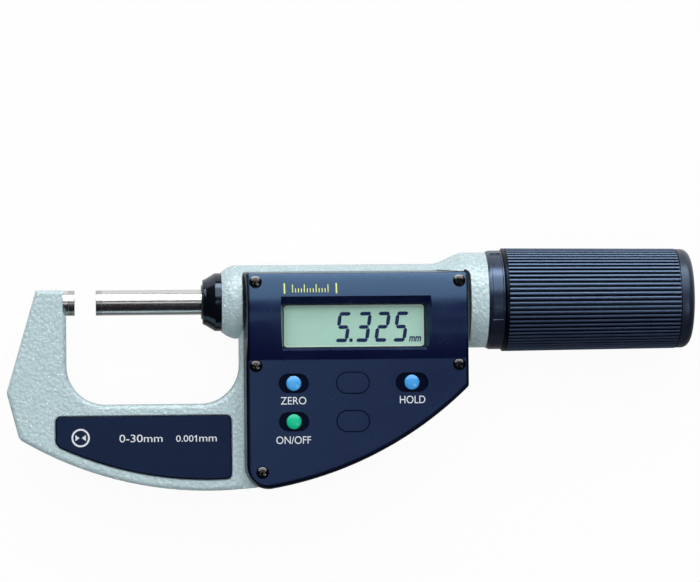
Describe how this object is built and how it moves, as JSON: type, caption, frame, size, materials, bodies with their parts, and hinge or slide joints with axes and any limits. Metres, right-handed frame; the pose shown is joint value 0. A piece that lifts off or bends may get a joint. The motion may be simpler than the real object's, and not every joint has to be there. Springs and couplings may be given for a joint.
{
  "type": "digital outside micrometer",
  "caption": "Digital outside micrometer: cast C-frame, carbide-faced anvil and sliding spindle, display housing with push buttons, and a ribbed thimble that drives the spindle.",
  "frame": {"origin": "centre of the anvil's measuring face", "axes": "+X along the spindle from the anvil to the thimble, +Y from the bow to the barrel, +Z out of the display"},
  "size_m": [0.1739, 0.0606, 0.0271],
  "materials": {
    "cast_frame": "pale grey-green hammered enamel on a casting",
    "ground_steel": "ground and polished",
    "carbide": "lapped carbide",
    "black_nut": "glossy black",
    "wiper_rubber": "smooth rubber",
    "bronze": "turned bronze",
    "plate_paint": "satin navy enamel on aluminium",
    "ring_metal": "glossy dark anodised",
    "steel": "turned",
    "housing_plastic": "satin navy moulding",
    "seal_rubber": "soft rubber",
    "black_screws": "blackened steel",
    "window_clear": "clear",
    "display_glass": "pale green liquid crystal",
    "holder_plastic": "moulded",
    "contact_rubber": "striped contact rubber",
    "circuit_board": "coated laminate",
    "spring_contacts": "sprung strip",
    "cell_steel": "plated can",
    "black_plastic": "moulded",
    "blue_button": "gloss",
    "green_button": "gloss",
    "friction_lining": "pressed fibre",
    "thimble_metal": "turned",
    "grip_plastic": "satin ribbed moulding",
    "cap_plastic": "satin moulding"
  },
  "bodies": {
    "frame": {"frame": "cast_frame", "anvil": "ground_steel", "anvil_tip": "carbide", "spindle_nut": "black_nut", "spindle_wiper": "wiper_rubber", "guide_bush": "bronze", "front_plate": "plate_paint", "rear_plate": "plate_paint", "sleeve_ring": "ring_metal", "drive_bearing": "bronze", "bearing_retainer": "steel", "display_housing": "housing_plastic", "housing_gasket": "seal_rubber", "housing_screws": "black_screws", "window_lens": "window_clear", "lcd_panel": "display_glass", "display_holder": "holder_plastic", "contact_strips": "contact_rubber", "main_board": "circuit_board", "processor": "holder_plastic", "contact_domes": "spring_contacts", "scale_board": "circuit_board", "battery": "cell_steel", "battery_contacts": "spring_contacts", "output_socket": "holder_plastic", "output_cover": "black_plastic", "cover_screws": "black_screws"},
    "spindle": {"spindle": "ground_steel", "spindle_tip": "carbide", "lead_screw": "steel", "guide_key": "steel", "key_screws": "steel", "encoder_slider": "circuit_board"},
    "drive": {"drive_sleeve": "steel", "drive_nut": "bronze", "nut_lock_ring": "steel", "thrust_ring": "steel", "clutch_disc": "friction_lining", "pressure_washer": "steel", "disc_springs": "steel", "spring_nut": "steel"},
    "thimble": {"thimble": "thimble_metal", "thimble_grip": "grip_plastic", "end_cap": "cap_plastic"},
    "zero_button": {"zero_button": "blue_button"},
    "on_off_button": {"on_off_button": "green_button"},
    "hold_button": {"hold_button": "blue_button"},
    "cap_seal": {"battery_seal": "seal_rubber"},
    "battery_cap": {"battery_cap": "black_plastic"}
  },
  "joints": [
    {"name": "drive_turn", "type": "hinge", "parent": "frame", "child": "drive", "pos_m": [0.11, 0, 0], "axis": [1, 0, 0], "range_deg": [-191.69, 888.29]},
    {"name": "spindle_feed", "type": "slide", "parent": "frame", "child": "spindle", "axis": [1, 0, 0], "range_m": [-0.00532, 0.02467]},
    {"name": "thimble_slip", "type": "hinge", "parent": "drive", "child": "thimble", "pos_m": [0.125, 0, 0], "axis": [1, 0, 0], "continuous": true},
    {"name": "zero_button_press", "type": "slide", "parent": "frame", "child": "zero_button", "axis": [0, 0, -1], "range_m": [0, 0.0005], "stiffness_N_per_m": 600, "springref_m": -0.001},
    {"name": "on_off_button_press", "type": "slide", "parent": "frame", "child": "on_off_button", "axis": [0, 0, -1], "range_m": [0, 0.0005], "stiffness_N_per_m": 600, "springref_m": -0.001},
    {"name": "hold_button_press", "type": "slide", "parent": "frame", "child": "hold_button", "axis": [0, 0, -1], "range_m": [0, 0.0005], "stiffness_N_per_m": 600, "springref_m": -0.001},
    {"name": "cap_lift", "type": "slide", "parent": "frame", "child": "cap_seal", "axis": [0, 0, -1], "range_m": [0, 0.00226]},
    {"name": "cap_turn", "type": "hinge", "parent": "cap_seal", "child": "battery_cap", "pos_m": [0.0705, -0.0256, -0.005], "axis": [0, 0, -1], "range_deg": [0, 1085]}
  ],
  "couplings": [
    {"joint": "spindle_feed", "follows": "drive_turn", "m_per_rad": 0.0015915},
    {"joint": "cap_turn", "follows": "cap_lift", "rad_per_m": 8377.6}
  ]
}
